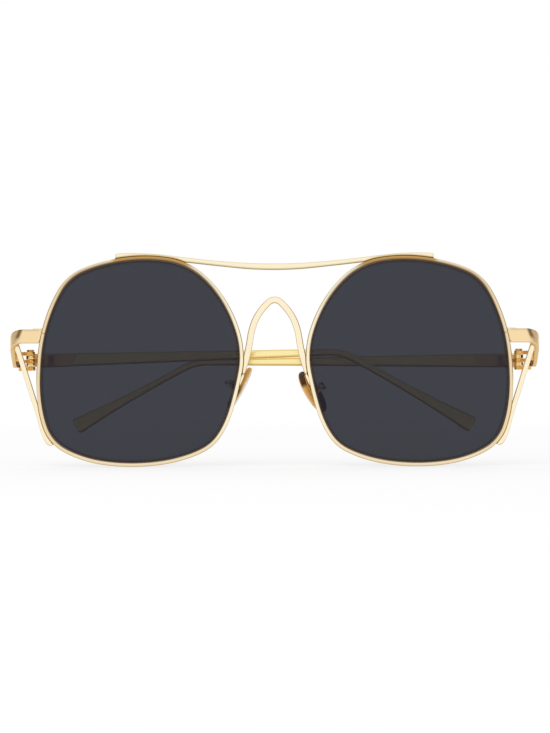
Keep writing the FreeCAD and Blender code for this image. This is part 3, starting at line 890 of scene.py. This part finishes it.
@dataclass
class EndPiece(SubAssembly):
    """The strip from one rim's side round a bend to the temple's butt.

    Lengths are in millimetres, turns in degrees and the slope in degrees for each millimetre.
    """

    side: Side
    outside: float = 74.9
    bend_radius: float = 4.0
    thickness: float = 1.2
    height: float = 3.9
    tab_level: float = 7.9
    tab_front: float = -0.8
    butt: float = 9.42
    edge: float = 0.28
    spacing: float = 0.4
    bend_steps: int = 48
    face_steps: int = 20
    root_slack: float = 0.01
    root_reach: float = 1.5
    # Where the painted dark reflection lies on the bend: the turns where it begins and ends, its heights and
    # its slope.
    dark_begins: Range = (-5.0, 8.0)
    dark_ends: Range = (12.0, 30.0)
    dark_height: Range = (0.8, 2.2)
    dark_slope: float = 6.0

    def build(self) -> list[bpy.types.Object]:
        """Make the strip, with its root cut to the rim's side.

        Returns:
            The end piece.
        """
        strip = Strip(self.side.node("end_piece"), self.edge, self.shade, face_steps=self.face_steps)
        inward = Vector((-self.side.sign, 0.0, 0.0))
        places = self.places(strip.tree, inward)
        form = strip.covered(places)
        for vert in form.verts:
            if abs(vert.co.x - places[0].middle.x) < self.root_slack * MM:
                vert.co = strip.tree.ray_cast(vert.co - inward * self.root_reach * MM, inward)[0] or vert.co
        return [self.smooth_metal(form, strip.node, FRONT, STRIP_GOLD)]

    def shade(self, place: Place, height: float, deep: float) -> float:
        """Paint a dark reflection on the upper part of the bend's outside, where it turns away from the front.

        Args:
            place: The place along the strip.
            height: The height over the strip's lower edge.
            deep: The depth from the strip's middle, above 0 on its outside.

        Returns:
            The painted reflection's strength, from 0 to 1.
        """
        if deep < 0:
            return 0.0
        turn = place.turn - (self.height - height) * self.dark_slope
        dark = eased(turn, *self.dark_begins) * (1.0 - eased(turn, *self.dark_ends))
        return dark * eased(height, *self.dark_height)

    def places(self, tree: BVHTree, inward: Vector) -> list[Place]:
        """Follow the strip's middle from the rim to the butt.

        Args:
            tree: The CAD strip's surface.
            inward: The direction from the bend to the rim.

        Returns:
            The places along the strip.
        """
        half = self.thickness / 2
        side, tab, reach = self.outside - half, self.tab_front + half, self.bend_radius - half
        bend, bend_end = self.outside - self.bend_radius, self.tab_front + self.bend_radius
        root = bend - tree.ray_cast(Vector((self.side.sign * bend, tab, self.tab_level)) * MM, inward)[3] / MM
        tab_steps, side_steps = int((bend - root) / self.spacing), int((self.butt - bend_end) / self.spacing)
        path = [(root + (bend - root) * step / tab_steps, tab, 0.0) for step in range(tab_steps)]
        for step in range(self.bend_steps):
            angle = math.radians(90 * step / self.bend_steps)
            path.append((bend + reach * math.sin(angle), bend_end - reach * math.cos(angle), angle))
        path += [(side, bend_end + (self.butt - bend_end) * step / side_steps, math.radians(90))
                 for step in range(side_steps + 1)]
        places = []
        for out, deep, angle in path:
            facing = Vector((self.side.sign * math.sin(angle), -math.cos(angle), 0.0))
            middle = Vector((self.side.sign * out, deep, 0.0)) * MM
            places.append(Place(middle, UP, facing, turn=math.degrees(angle)).centred(tree, UP))
        return places


@dataclass
class SideStrut(SubAssembly):
    """The flat bar from one end piece down to a rounded foot beside the rim. Lengths are in millimetres."""

    side: Side
    top: float = 5.9
    bottom: float = -23.0
    lean_from: float = -15.5
    lean: float = 0.131
    edge: float = 0.34
    foot_round: float = 1.7
    foot_gap: float = 0.12
    spacing: float = 0.4
    end_shares: tuple[float, ...] = (0.3, 0.55, 0.75, 0.88)

    def build(self) -> list[bpy.types.Object]:
        """Make the bar."""
        strip = Strip(self.side.node("side_strut"), self.edge)
        return [self.smooth_metal(strip.covered(self.places(strip.tree)), strip.node, FRONT, WIRE_GOLD)]

    def places(self, tree: BVHTree) -> list[Place]:
        """Follow the bar's middle from the end piece to the foot, which narrows towards the rim.

        Args:
            tree: The CAD bar's surface.

        Returns:
            The places along the bar.
        """
        out = Vector((self.side.sign, 0.0, 0.0))
        steps = int((self.top - self.bottom) / self.spacing)
        levels = [self.top + (self.bottom - self.top) * step / steps for step in range(steps + 1)]
        middles = [Place(Vector((0.0, max(0.0, level - self.lean_from) * self.lean, level)) * MM, out, BACK)
                   .centred(tree, out).middle for level in levels]
        last = (middles[-1] - middles[-2]).normalized()
        left = tree.ray_cast(middles[-1], last)[3]
        middles += [middles[-1] + last * left * share for share in self.end_shares]
        places = []
        for before, middle, after in neighbours(middles):
            near = max(0.0, 1.0 - ((middles[-1] - middle).length / MM + self.foot_gap) / self.foot_round)
            places.append(Place(middle, sideways(before, after, out), BACK, kept=math.sqrt(1.0 - near ** 2)))
        return places


@dataclass
class Station:
    """A place on a lens opening's outline, with the direction away from the lens."""

    place: Vector
    outward: Vector

    def at(self, outward: float, back: float) -> Vector:
        """Give the point that lies so many millimetres outward and backward from this place."""
        return self.place + (self.outward * outward + BACK * back) * MM

    def towards(self, other: "Station", level: float) -> "Station":
        """Give the station between this one and another at a level."""
        share = (level - self.place.z) / (other.place.z - self.place.z)
        return Station(self.place.lerp(other.place, share),
                       self.outward.lerp(other.outward, share).normalized())


@dataclass
class Outline:
    """The outline of one lens opening, read from the crest of the lens's bevel.

    Lengths are in millimetres. A face's direction along BACK tells the bevel's front and its wall.
    """

    side: Side
    bevel_height: float = 0.43
    steps: int = 3
    front_facing: float = -0.999
    wall_facing: float = 0.01

    def stations(self) -> list[Station]:
        """Follow the outline round the opening.

        Returns:
            The outline's stations, one after another.
        """
        form = joined_copy(self.side.node("lens"))
        form.normal_update()
        curve = self.smoothed(self.walked([edge for edge in form.edges if self.is_crest(edge)]))
        form.free()
        middle = sum(curve, Vector()) / len(curve)
        made = []
        for before, place, after in zip(curve[-1:] + curve, curve, curve[1:] + curve[:1]):
            outward = sideways(before, after, place - middle)
            inner = place - outward * self.bevel_height * MM
            made.append(Station(Vector((inner.x, 0.0, inner.z)), outward))
        return made

    def is_crest(self, edge: bmesh.types.BMEdge) -> bool:
        """Tell whether an edge is the bevel's outer front corner.

        Args:
            edge: An edge of the lens.

        Returns:
            True if it is.
        """
        if not (edge.is_manifold and edge.is_convex):
            return False
        flat, wall = sorted(face.normal.y for face in edge.link_faces)
        return flat < self.front_facing and abs(wall) < self.wall_facing

    @staticmethod
    def walked(edges: list[bmesh.types.BMEdge]) -> list[Vector]:
        """Put the ends of joined edges in the order in which they follow one another.

        Args:
            edges: The edges of one closed loop.

        Returns:
            The loop's points.
        """
        left = set(edges)
        vert = edges[0].verts[0]
        points = []
        while left:
            edge = next(link for link in vert.link_edges if link in left)
            left.discard(edge)
            points.append(vert.co.copy())
            vert = edge.other_vert(vert)
        return points

    def smoothed(self, points: list[Vector]) -> list[Vector]:
        """Pass a smooth closed curve through points.

        Args:
            points: The loop's points.

        Returns:
            The curve's points, several for each one given.
        """
        nexts = points[1:] + points[:1]
        ways = [(after - before).normalized() for before, after in zip(points[-1:] + points, nexts)]
        curve: list[Vector] = []
        for here, way, there, way_there in zip(points, ways, nexts, ways[1:] + ways[:1]):
            reach = (there - here).length / 3
            ends = (here, here + way * reach, there - way_there * reach, there)
            curve += interpolate_bezier(*ends, self.steps + 1)[:-1]
        return curve


@dataclass
class Rim(SubAssembly):
    """One rim wire, swept along its lens's outline and split at the lock.

    Lengths are in millimetres. A range of turns says how far the outline has turned that way.
    """

    side: Side
    width: float = 1.2
    depth: float = 2.0
    rounding: float = 0.38
    round_steps: int = 6
    groove_depth: float = 0.45
    groove_width: float = 0.9
    lock_level: float = 7.9
    lock_slit: float = 0.1
    lock_turn: float = 0.5
    # Painted shade: its reach along the lens and at the top, under the bar, and on the outer and lower sides.
    shade_reach: float = 0.42
    top_reach: float = 0.7
    top_turn: Range = (0.3, 0.9)
    bar_reach: Range = (0.3, 1.5)
    painted_outer_shade: float = 0.36
    side_turn: Range = (-0.1, 0.7)
    painted_low_shade: float = 0.20
    low_turn: Range = (0.3, 0.9)

    def build(self) -> list[bpy.types.Object]:
        """Make the wire and mark where its gold lies in shade.

        Returns:
            The rim.
        """
        node = self.side.node("rim")
        stations, section, bar = self.ordered(), self.section(), surface_of("brow_bar")
        form, corners = woven(len(stations), len(section))
        layers = form.verts.layers.float
        painted_edge_shade, painted_ochre_shade = layers[Shade.EDGE.value], layers[Shade.OCHRE.value]
        for vert, column, row in corners:
            station, (outward, back) = stations[column], section[row]
            vert.co = station.at(outward, back)
            # Painted shade along the lens, reaching further at the top where light falls from above.
            reach = self.shade_reach + self.top_reach * eased(station.outward.z, *self.top_turn)
            vert[painted_edge_shade] = 1.0 - eased(outward, 0.0, reach)
            # Painted shade on the rim under the bar, and on its outer and lower sides.
            painted_bar_shade = 1.0 - eased(bar.find_nearest(vert.co)[3] / MM, *self.bar_reach)
            vert[painted_ochre_shade] = max(painted_bar_shade, self.painted_side_shade(station))
        return [self.piece(closed_up(form), f"{node}_polished", FRONT, Slot.METAL, WIRE_GOLD, node)]

    def painted_side_shade(self, station: Station) -> float:
        """Give the painted shade, a warmer and deeper tone, on the outer and lower sides."""
        side = self.painted_outer_shade * eased(self.side.sign * station.outward.x, *self.side_turn)
        return max(side, self.painted_low_shade * eased(-station.outward.z, *self.low_turn))

    def section(self) -> list[tuple[float, float]]:
        """Draw the wire's grooved section.

        Returns:
            The section's points, as outward and backward lengths.
        """
        inset, half, lip = self.rounding, self.depth / 2, self.groove_width / 2
        outer = self.width - inset
        points = [(0.0, -lip)]
        for across, back, start in ((inset, inset - half, 180), (outer, inset - half, 270),
                                    (outer, half - inset, 0), (inset, half - inset, 90)):
            for step in range(self.round_steps + 1):
                angle = math.radians(start + 90 * step / self.round_steps)
                points.append((across + inset * math.cos(angle), back + inset * math.sin(angle)))
        return points + [(0.0, lip), (self.groove_depth, lip), (self.groove_depth, -lip), (0.0, -lip)]

    def ordered(self) -> list[Station]:
        """Put the outline's stations in order from one end of the wire to the other.

        Returns:
            The stations, with one at each side of the lock's slit.
        """
        stations = Outline(self.side).stations()
        level, slit = self.lock_level * MM, self.lock_slit * MM
        cut = next(number for number, station in enumerate(stations)
                   if station.outward.x * self.side.sign > self.lock_turn
                   and (stations[number - 1].place.z - level) * (station.place.z - level) <= 0)
        wire = stations[cut:] + stations[:cut]
        first, last = wire[0], wire[-1]
        rise = math.copysign(slit / 2, first.place.z - last.place.z)
        kept = [station for station in wire if station.outward.x * self.side.sign < self.lock_turn
                or abs(station.place.z - level) > slit]
        return [last.towards(first, level + rise)] + kept + [last.towards(first, level - rise)]


@dataclass
class Lens(SubAssembly):
    """One curved lens with its bevel in the rim's groove. Lengths are in millimetres."""

    side: Side
    radius: float = 260.0
    bevel: float = 0.43
    clearance: float = 0.02
    edge_rings: tuple[float, ...] = (0.15, 0.35, 0.6, 0.9, 1.3, 1.8)
    inner_rings: tuple[float, ...] = (0.94, 0.86, 0.74, 0.6, 0.45, 0.3, 0.15, 0.0)
    shade_reach: float = 0.9

    def build(self) -> list[bpy.types.Object]:
        """Make the lens, smooth over its faces and crisp along its bevel.

        Returns:
            The lens.
        """
        node = self.side.node("lens")
        form = self.shaped(Outline(self.side).stations())
        for edge in sharp_edges(form):
            edge.smooth = False
        made = self.piece(form, f"{node}_tinted", FRONT, Slot.LENS, LENS_TINT, node)
        made.visible_glossy = False
        return [made]

    def shaped(self, stations: list[Station]) -> bmesh.types.BMesh:
        """Shape the lens in rings from the middle of its front, round its bevel, to the middle of its back.

        Args:
            stations: The opening's stations.

        Returns:
            The lens's mesh.
        """
        places = [station.place.x for station in stations]
        middle = Vector(((min(places) + max(places)) / 2, 0.0, 0.0))
        faces = self.faces(middle)
        face_rings = len(self.inner_rings) + len(self.edge_rings) + 1
        form, corners = woven(len(stations) + 1, 2 * face_rings + 4)
        shade = form.verts.layers.float[Shade.EDGE.value]
        for vert, column, row in corners:
            station = stations[column % len(stations)]
            on_back = row >= face_rings + 2
            ring = 2 * face_rings + 3 - row if on_back else row
            inset = self.clearance
            if ring < face_rings:
                spot, inset = self.spot(station, middle, ring)
                pole, radius = faces[on_back]
                rise = radius - math.sqrt(radius ** 2 - (spot - middle).length_squared)
                vert.co = spot + BACK * (pole + rise)
            else:
                outward = -self.clearance if ring == face_rings else self.bevel
                vert.co = station.at(outward, self.bevel if on_back else -self.bevel)
            # Painted reflection and shade of the rim near the lens's edge.
            vert[shade] = 1.0 - eased(inset, self.clearance, self.shade_reach)
        return closed_up(form)

    def faces(self, middle: Vector) -> tuple[Range, Range]:
        """Find the lens's two curved faces.

        Args:
            middle: The middle of the opening.

        Returns:
            The depth and radius of the front face and of the back face, in metres.
        """
        tree = surface_of(self.side.node("lens"))
        front, back = tree.ray_cast(middle - BACK, BACK)[0].y, tree.ray_cast(middle + BACK, -BACK)[0].y
        half = (back - front) / 2
        return (front, self.radius * MM + half), (back, self.radius * MM - half)

    def spot(self, station: Station, middle: Vector, ring: int) -> tuple[Vector, float]:
        """Find a ring's point on the opening's plane.

        Args:
            station: The station that the point is in line with.
            middle: The middle of the opening.
            ring: The ring's number, from the middle outward.

        Returns:
            The point, and how far in from the edge it lies.
        """
        insets = self.edge_rings[::-1] + (self.clearance,)
        number = ring - len(self.inner_rings)
        if number >= 0:
            return station.at(-insets[number], 0.0), insets[number]
        innermost = station.at(-insets[0], 0.0)
        return middle.lerp(innermost, self.inner_rings[::-1][ring]), self.radius


@dataclass
class RimLock(SubAssembly):
    """The two blocks and the screw that close one rim. Lengths are in millimetres."""

    side: Side
    block_edge: float = 0.18
    screw_edge: float = 0.10

    def build(self) -> list[bpy.types.Object]:
        """Make the blocks and their screw.

        Returns:
            The upper block, the lower block and the screw.
        """
        return [self.metal(self.side.node("rim_lock_upper"), self.block_edge, FRONT, WIRE_GOLD),
                self.metal(self.side.node("rim_lock_lower"), self.block_edge, FRONT, WIRE_GOLD),
                self.screw(self.side.node("rim_lock_screw"), self.screw_edge)]


@dataclass
class Hinge(SubAssembly):
    """One hinge: a leaf on the front, a leaf on the temple and the screw through their knuckles.

    Lengths are in millimetres.
    """

    side: Side
    leaf_edge: float = 0.12
    screw_edge: float = 0.10

    def build(self) -> list[bpy.types.Object]:
        """Make both leaves and the screw.

        Returns:
            The front's leaf, the temple's leaf and the screw.
        """
        temple = self.side.node("temple")
        return [self.metal(self.side.node("hinge_front_leaf"), self.leaf_edge, FRONT, HINGE_GOLD),
                self.metal(self.side.node("hinge_temple_leaf"), self.leaf_edge, temple, LEAF_GOLD),
                self.screw(self.side.node("hinge_screw"), self.screw_edge)]


@dataclass
class Temple(SubAssembly):
    """One flat temple with its paddle-shaped tip. Lengths are in millimetres."""

    side: Side
    edge: float = 0.54
    shade_reach: float = 0.9
    spacing: float = 1.0
    butt: float = 0.03
    tip: float = 4.5
    tip_spacing: float = 0.25
    tip_gap: float = 0.02
    face_steps: int = 10

    def build(self) -> list[bpy.types.Object]:
        """Make the temple's blade, with painted shade along its lower edge.

        Returns:
            The temple.
        """
        node = self.side.node("temple")
        strip = Strip(node, self.edge, shaded_below(self.shade_reach), face_steps=self.face_steps)
        return [self.smooth_metal(strip.covered(self.places(strip)), node, node, BLADE_GOLD)]

    def places(self, strip: Strip) -> list[Place]:
        """Follow the blade's middle from its butt to the end of its tip.

        Args:
            strip: The CAD blade.

        Returns:
            The places along the blade.
        """
        solid = joined_copy(strip.node)
        outs = [vert.co.x * self.side.sign / MM for vert in solid.verts]
        first, last = max(outs) - self.butt, min(outs) + self.tip
        steps = int((first - last) / self.spacing)
        middles = [self.cut_middle(solid, self.side.sign * (first + (last - first) * step / steps) * MM)
                   for step in range(steps + 1)]
        solid.free()
        way = (middles[-1] - middles[-2]).normalized()
        left = strip.tree.ray_cast(middles[-1], way)[3] / MM - self.tip_gap
        tip_steps = int(left / self.tip_spacing)
        middles += [middles[-1] + way * left * step / tip_steps * MM for step in range(1, tip_steps + 1)]
        return [Place(middle, sideways(before, after, UP), BACK)
                for before, middle, after in neighbours(middles)]

    @staticmethod
    def cut_middle(solid: bmesh.types.BMesh, out: float) -> Vector:
        """Find the middle of a solid's cut across X.

        Args:
            solid: The solid.
            out: The place of the cut along X, in metres.

        Returns:
            The middle of the cut.
        """
        cuts = []
        for edge in solid.edges:
            one, other = (vert.co for vert in edge.verts)
            if (one.x - out) * (other.x - out) < 0:
                cuts.append(one.lerp(other, (out - one.x) / (other.x - one.x)))
        deep, high = [cut.y for cut in cuts], [cut.z for cut in cuts]
        return Vector((out, (min(deep) + max(deep)) / 2, (min(high) + max(high)) / 2))


@dataclass
class NosePad(SubAssembly):
    """One silicone pad with its metal core, box, screw and bent arm.

    Lengths are in millimetres and angles in degrees. A range gives shares of half the pad's size.
    """

    side: Side
    out: float
    level: float
    splay: float
    lean: float
    painted_shade_from: Range
    back: float = 7.2
    length: float = 13.2
    width: float = 7.6
    thickness: float = 2.3
    fullness: float = 0.5
    core_from: Range = (-0.55, -0.10)
    round_steps: int = 56
    rise_steps: int = 36
    metal_edge: float = 0.10

    def build(self) -> list[bpy.types.Object]:
        """Make the pad and its metal fittings.

        Returns:
            The fittings and the pad.
        """
        body = self.side.node("pad")
        made = [self.metal(self.side.node("pad_arm"), self.metal_edge, FRONT, WIRE_GOLD),
                self.metal(self.side.node("pad_box"), self.metal_edge, FRONT, WIRE_GOLD),
                self.screw(self.side.node("pad_screw"), self.metal_edge),
                self.metal(self.side.node("pad_core"), self.metal_edge, body, CORE_GOLD)]
        pad = self.piece(self.crowned(), self.side.node("pad_silicone"), body, Slot.PAD, PAD_SILICONE,
                         self.side.node("nose_pad"))
        return made + [pad]

    def place(self) -> Matrix:
        """Find the pad's place and turn on its own side.

        Returns:
            The matrix that puts it there.
        """
        lean = Matrix.Rotation(math.radians(-self.lean), 4, "Y")
        splay = Matrix.Rotation(math.radians(-self.splay), 4, "Z")
        spot = Matrix.Translation(Vector((self.out, self.back, self.level)) * MM)
        mirror = Matrix.Diagonal((self.side.sign, 1, 1, 1))
        return mirror @ spot @ (lean @ splay)

    def crowned(self) -> bmesh.types.BMesh:
        """Shape the pad: an oval with full rounded sides and a crown on both faces.

        Returns:
            The pad's mesh, with the colour that it takes from its core and its painted shade marked.
        """
        form = bmesh.new()
        shade = form.verts.layers.float.new(Shade.CORE.value)
        bmesh.ops.create_uvsphere(form, u_segments=self.round_steps, v_segments=self.rise_steps, radius=1.0)
        for vert in form.verts:
            vert.co.x = math.copysign(abs(vert.co.x) ** self.fullness, vert.co.x)
            # Painted shade at the end of the pad where the painted shade range marks it.
            vert[shade] = eased(vert.co.x, *self.core_from) * (1.0 + eased(vert.co.z, *self.painted_shade_from))
        half = Vector((self.thickness, self.width, self.length)) * MM / 2
        bmesh.ops.transform(form, matrix=self.place() @ Matrix.Diagonal((*half, 1)), verts=form.verts[:])
        bmesh.ops.recalc_face_normals(form, faces=form.faces[:])
        return form


@dataclass
class Studio:
    """The pale floor, the soft light and the camera of the photograph.

    Lengths are in metres. A range of the light's directions says where it begins and where it is full.
    """

    floor_level: float
    floor_size: float = 6.0
    floor_tone: Colour = colour(0.97, 0.97, 0.97)
    floor_glow: float = 0.72
    glow_reach: Range = (0.10, 0.60)
    fill: float = 0.85
    lit_ends: Range = (0.25, 0.80)
    lit_top: Range = (0.20, 0.80)
    top_share: float = 0.88
    shade: float = 0.16
    shade_tint: Colour = colour(1.0, 0.62, 0.36)
    camera_place: tuple[float, float, float] = (0.00007, -0.6, -0.0015)
    camera_lens: float = 104.5
    camera_roll: float = -0.13
    key_place: tuple[float, float, float] = (-0.30, -0.55, 0.62)
    key_size: float = 0.55
    key_power: float = 1.6

    def build(self) -> None:
        """Set the floor, the light and the camera."""
        self.lay_floor()
        self.light_world()
        self.hang_key()
        self.place_camera()

    @staticmethod
    def seen(recipe: Recipe) -> Tap:
        """Tell the rays that show the background from those that light the object."""
        rays = recipe.node("ShaderNodeLightPath", output="Is Camera Ray")
        return rays | rays.beside("Is Transmission Ray")

    def lay_floor(self) -> None:
        """Lay a pale floor that keeps the object's shadow."""
        form = bmesh.new()
        bmesh.ops.create_grid(form, x_segments=1, y_segments=1, size=self.floor_size / 2,
                              matrix=Matrix.Translation((0, 0, self.floor_level)))
        mesh = bpy.data.meshes.new("pale_floor")
        form.to_mesh(mesh)
        form.free()
        paint = bpy.data.materials.new("floor_white")
        paint.use_nodes = True
        recipe = Recipe(paint.node_tree)
        matt = recipe.node("ShaderNodeBsdfDiffuse", sockets={"Color": self.floor_tone})
        glow = recipe.node("ShaderNodeEmission", sockets={"Color": WHITE, "Strength": 1.0})
        seen = self.seen(recipe)
        spot = recipe.node("ShaderNodeTexCoord", output="Object")
        reach = recipe.node("ShaderNodeVectorMath", {"operation": "LENGTH"}, {0: spot}, "Value")
        glow_share = self.floor_glow + reach.eased(*self.glow_reach) * (1.0 - self.floor_glow)
        shown = (seen | recipe.node("ShaderNodeLightPath", output="Is Glossy Ray")) * glow_share
        shader = recipe.node("ShaderNodeMixShader", sockets={0: shown, 1: matt, 2: glow})
        recipe.node("ShaderNodeOutputMaterial", sockets={"Surface": shader})
        mesh.materials.append(paint)
        floor = bpy.data.objects.new("pale_floor", mesh)
        bpy.context.scene.collection.objects.link(floor)

    def light_world(self) -> None:
        """Surround the object with white, shaded at the sides for the gold to reflect."""
        world = bpy.data.worlds.new("studio")
        bpy.context.scene.world = world
        world.use_nodes = True
        recipe = Recipe(world.node_tree)
        direction = recipe.node("ShaderNodeTexCoord", output="Generated")
        facing = recipe.node("ShaderNodeSeparateXYZ", sockets={0: direction}, output="Y")
        lit = abs(facing).eased(*self.lit_ends) | facing.beside("Z").eased(*self.lit_top) * self.top_share
        seen = self.seen(recipe)
        glossy = recipe.node("ShaderNodeLightPath", output="Is Glossy Ray")
        mirror = self.shade + lit * (1.0 - self.shade)
        strength = seen + (1.0 - seen) * (glossy * mirror + (1.0 - glossy) * self.fill)
        tint = recipe.mixed((1.0 - seen) * glossy * (1.0 - lit), WHITE, self.shade_tint)
        sky = recipe.node("ShaderNodeBackground", sockets={"Color": tint, "Strength": strength})
        recipe.node("ShaderNodeOutputWorld", sockets={"Surface": sky})

    def hang_key(self) -> None:
        """Hang one broad soft lamp above the front."""
        lamp = bpy.data.lights.new("soft_key", "AREA")
        lamp.size = self.key_size
        lamp.energy = self.key_power
        hung = bpy.data.objects.new("soft_key", lamp)
        hung.visible_glossy = False
        hung.location = self.key_place
        hung.rotation_euler = (-Vector(self.key_place)).to_track_quat("-Z", "Y").to_euler()
        bpy.context.scene.collection.objects.link(hung)

    def place_camera(self) -> None:
        """Put the camera where the photograph was taken from."""
        lens = bpy.data.cameras.new("photo_camera")
        lens.lens = self.camera_lens
        camera = bpy.data.objects.new("photo_camera", lens)
        level = Matrix.Rotation(math.radians(90), 4, "X")
        roll = Matrix.Rotation(math.radians(self.camera_roll), 4, "Z")
        camera.matrix_world = Matrix.Translation(self.camera_place) @ (level @ roll)
        bpy.context.scene.collection.objects.link(camera)
        bpy.context.scene.camera = camera


def main() -> None:
    """Build every sub-assembly, then the studio round it."""
    logging.basicConfig(level=logging.INFO, format="%(name)s: %(message)s")
    assemblies: list[SubAssembly] = [BrowBar(), Bridge()]
    for side in Side:
        assemblies += [Rim(side), Lens(side), EndPiece(side), SideStrut(side), RimLock(side), Hinge(side),
                       Temple(side)]
    assemblies += [NosePad(Side.LEFT, out=10.75, level=-8.8, splay=28.0, lean=31.0, painted_shade_from=(0.30, 0.50)),
                   NosePad(Side.RIGHT, out=9.95, level=-7.7, splay=5.0, lean=28.0, painted_shade_from=(0.30, -0.20))]
    count = sum(len(assembly.build()) for assembly in assemblies)
    LOG.info("%d pieces", count)
    Studio(floor_level=CAD_BOX[0][2]).build()
    bpy.context.scene.view_settings.view_transform = "Standard"


if __name__ == "__main__":
    main()
